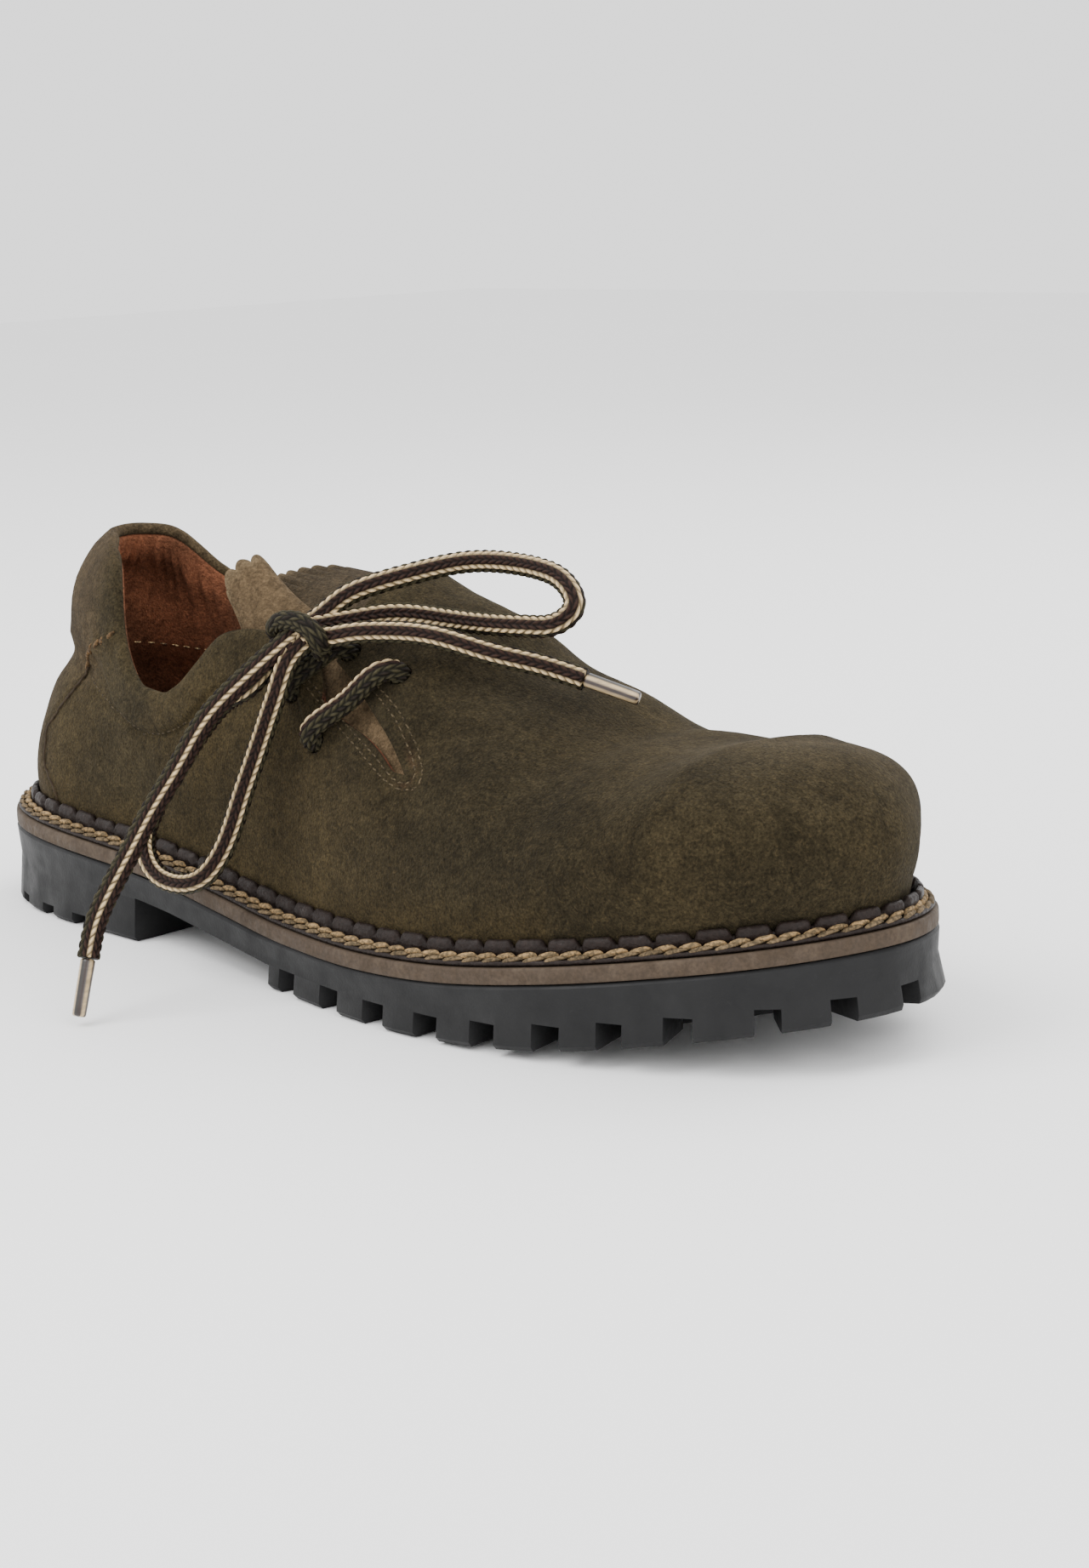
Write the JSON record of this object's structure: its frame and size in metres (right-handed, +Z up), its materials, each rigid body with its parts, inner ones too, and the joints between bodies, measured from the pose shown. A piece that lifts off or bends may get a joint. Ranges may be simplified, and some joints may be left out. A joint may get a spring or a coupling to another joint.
{
  "type": "haferl shoe",
  "caption": "Low alpine leather shoe with a high heel collar, lace opening on the outer side, pinked tongue, notched storm welt and deep-lugged rubber sole",
  "frame": {"origin": "middle of the shoe's length and width, on the plane its sole stands on", "axes": "+X towards the toe, -Y the outer side, +Z up"},
  "size_m": [0.3052, 0.1533, 0.1072],
  "materials": {
    "outsole": "matt charcoal lugged rubber",
    "midsole": "brown edge-dyed leather band",
    "welt": "dark brown storm welt",
    "insole": "brown leather, plain",
    "upper": "olive brown roughout, napped",
    "tongue": "olive beige suede, pinked edge",
    "lace": "dark brown round braid",
    "aglet": "brown tip"
  },
  "bodies": {
    "root": {"outsole": "outsole", "midsole": "midsole", "welt": "welt", "insole": "insole", "upper": "upper", "tongue": "tongue", "lace_bar": "lace", "lace_bar_top": "lace", "lace_knot": "lace", "lace_loop_rear": "lace", "lace_loop_front": "lace", "lace_end_rear": "lace", "lace_end_front": "lace", "aglet_rear": "aglet", "aglet_front": "aglet"}
  },
  "joints": []
}
